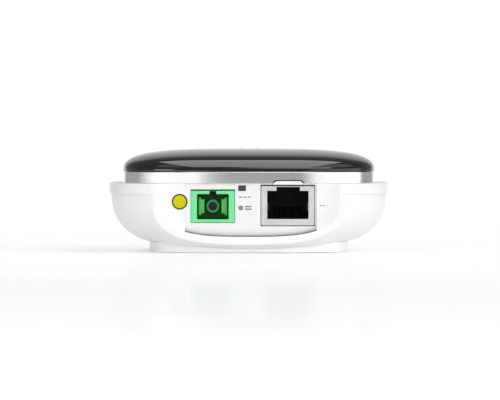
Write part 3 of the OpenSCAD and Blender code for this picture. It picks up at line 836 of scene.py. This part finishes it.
def build_marks():
    """Dashes by the reset hole, a dot and two bars by the fibre socket, squares by the jack."""
    ink = FINISH["ink"]
    for i in range(3):
        mark(f"reset_mark_{i}", rounded_rect(0.95, 0.34, 0.15, -2.45 + 1.3 * i, 16.35), ink)
    mark("fibre_mark_dot", circle(0.72, -2.35, 13.2, 28), ink)
    for i in range(2):
        mark(f"fibre_mark_bar_{i}", rounded_rect(2.0, 0.42, 0.2, -0.15, 12.85 + 0.75 * i), ink)
    for i in range(3):
        mark(f"jack_mark_{i}", rounded_rect(0.42, 0.42, 0.08, 20.9 + 0.85 * i, 13.9), ink)
    mark("sticker_back", circle(2.3, STICKER_X, STICKER_Z, 48), FINISH["edge"], 0.05)
    mark("sticker_face", circle(1.85, STICKER_X, STICKER_Z, 48), FINISH["yellow"], 0.08)


# ---------------------------------------------------------------- set, light and camera
def build_stage():
    bm = bmesh.new()
    corners = [bm.verts.new((x, y, 0)) for x, y in ((-0.7, -0.75), (0.7, -0.75), (0.7, 0.4), (-0.7, 0.4))]
    bm.faces.new(corners)
    floor = new_object("floor", bm)
    mat, tree, bsdf = shader("floor_white")
    soft = noise(tree, 3)
    tone = ramp(tree, soft.outputs["Fac"], (0.84, 0.84, 0.84), (0.85, 0.85, 0.85))
    tree.links.new(tone, bsdf.inputs["Base Color"])
    bsdf.inputs["Roughness"].default_value = 0.9
    bsdf.inputs["Specular IOR Level"].default_value = 0.0
    bsdf.inputs["Coat Weight"].default_value = 0.1
    bsdf.inputs["Coat Roughness"].default_value = 0.03
    bsdf.inputs["Emission Color"].default_value = (1, 1, 1, 1)
    bsdf.inputs["Emission Strength"].default_value = 0.22
    floor.data.materials.append(mat)


def softbox(name, centre, target, width, height, radiance, diffuse=True, glossy=True):
    data = bpy.data.lights.new(name, "AREA")
    data.shape = "RECTANGLE"
    data.size = width
    data.size_y = height
    data.energy = radiance * width * height * math.pi
    lamp = bpy.data.objects.new(name, data)
    lamp.location = centre
    lamp.rotation_euler = (Vector(target) - Vector(centre)).to_track_quat("-Z", "Y").to_euler()
    lamp.visible_camera = False
    lamp.visible_diffuse = diffuse
    lamp.visible_glossy = glossy
    bpy.context.scene.collection.objects.link(lamp)


def math_node(tree, operation, *values):
    node = tree.nodes.new("ShaderNodeMath")
    node.operation = operation
    for socket, value in zip(node.inputs, values):
        if isinstance(value, (int, float)):
            socket.default_value = value
        else:
            tree.links.new(value, socket)
    return node.outputs["Value"]


def rise(tree, value, start, end):
    """0 below start, 1 above end, smooth between; start above end falls instead."""
    node = tree.nodes.new("ShaderNodeMapRange")
    node.interpolation_type = "SMOOTHSTEP"
    node.inputs["From Min"].default_value = min(start, end)
    node.inputs["From Max"].default_value = max(start, end)
    node.inputs["To Min"].default_value = 0 if start < end else 1
    node.inputs["To Max"].default_value = 1 if start < end else 0
    tree.links.new(value, node.inputs["Value"])
    return node.outputs["Result"]


def screen(tree, azimuth, height, glow, across, up):
    """A soft-edged screen of light: its glow, its four azimuth stops and its four elevation stops."""
    value = glow
    for angle, stops in ((azimuth, across), (height, up)):
        value = math_node(tree, "MULTIPLY", rise(tree, angle, stops[0], stops[1]), value)
        value = math_node(tree, "MULTIPLY", rise(tree, angle, stops[3], stops[2]), value)
    return value


def build_world():
    """A studio seen by direction: 0 degrees is behind the camera, and +90 is the object's right."""
    world = bpy.data.worlds.new("studio")
    bpy.context.scene.world = world
    world.use_nodes = True
    tree = world.node_tree
    coords = tree.nodes.new("ShaderNodeTexCoord")
    split = tree.nodes.new("ShaderNodeSeparateXYZ")
    tree.links.new(coords.outputs["Generated"], split.inputs["Vector"])
    x, y, z = (split.outputs[k] for k in "XYZ")
    front = math_node(tree, "MULTIPLY", y, -1.0)
    azimuth = math_node(tree, "MULTIPLY", math_node(tree, "ARCTAN2", x, front), 180 / math.pi)
    height = math_node(tree, "MULTIPLY", math_node(tree, "ARCSINE", z), 180 / math.pi)
    turned = math_node(tree, "ABSOLUTE", azimuth)
    screens = [
        screen(tree, turned, height, 0.14, (-2, -1, 200, 201), (-91, -90, 1, 3)),
        screen(tree, azimuth, height, 0.72, (-110, -55, -12, 1), (-91, -90, 2, 5)),
        screen(tree, azimuth, height, 2.2, (-64, -56, -34, -24), (1, 2, 6, 10)),
        screen(tree, azimuth, height, 0.7, (7, 24, 96, 118), (-91, -90, 8, 14)),
        screen(tree, azimuth, height, 0.3, (24, 50, 96, 118), (-91, -90, 8, 14)),
        screen(tree, azimuth, height, 2.4, (-1, 1, 36, 44), (13, 15, 24, 27)),
        screen(tree, azimuth, height, 0.6, (-66, -58, -26, -18), (24, 27, 48, 62)),
        screen(tree, azimuth, height, 0.8, (16, 26, 74, 110), (24, 27, 48, 62)),
        screen(tree, turned, height, 0.5, (150, 165, 200, 201), (-91, -90, 30, 46)),
        screen(tree, turned, height, 0.2, (150, 165, 200, 201), (-91, -90, 3, 7)),
    ]
    total = 0.22
    for light in screens:
        total = math_node(tree, "ADD", light, total)
    back = tree.nodes["Background"]
    tree.links.new(total, back.inputs["Strength"])
    back.inputs["Color"].default_value = (1, 1, 1, 1)


def build_camera():
    data = bpy.data.cameras.new("camera")
    data.sensor_width = 36
    data.lens = 545
    data.clip_end = 20
    camera = bpy.data.objects.new("camera", data)
    aim = Vector((0.35, PANEL_Y, 15.5)) * MM
    distance = 2.2
    tilt = math.radians(0.8)
    camera.location = aim + Vector((0, -distance * math.cos(tilt), distance * math.sin(tilt)))
    camera.rotation_euler = (aim - camera.location).to_track_quat("-Z", "Y").to_euler()
    bpy.context.scene.collection.objects.link(camera)
    bpy.context.scene.camera = camera


build_bowl()
build_panel()
build_ring()
build_cover()
build_cover_hooks()
for node, key in NODE_FINISH.items():
    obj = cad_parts[node]
    obj.data.materials.clear()
    obj.data.materials.append(FINISH[key])
build_fibre_socket()
build_fibre_latches()
build_jack_shell()
build_jack_housing()
build_jack_springs()
build_inlet()
build_reset_button()
build_plinth()
build_feet()
build_marks()
build_stage()
build_world()
softbox("top_sheen", (0.03, -0.7, 0.9), (0.03, -0.7, 0), 0.86, 1.96, 2.7, diffuse=False)
softbox("top_box", (0.1, -0.25, 0.9), (0.1, -0.25, 0), 2.2, 2.8, 1.0, glossy=False)
softbox("front_fill", (0, -1.4, 0.25), (0, 0, 0.02), 1.6, 0.5, 2.1, glossy=False)
softbox("right_fill", (1.3, -0.3, 0.25), (0, 0, 0.01), 1.0, 0.5, 1.3, glossy=False)
build_camera()
bpy.context.scene.view_settings.view_transform = "Standard"
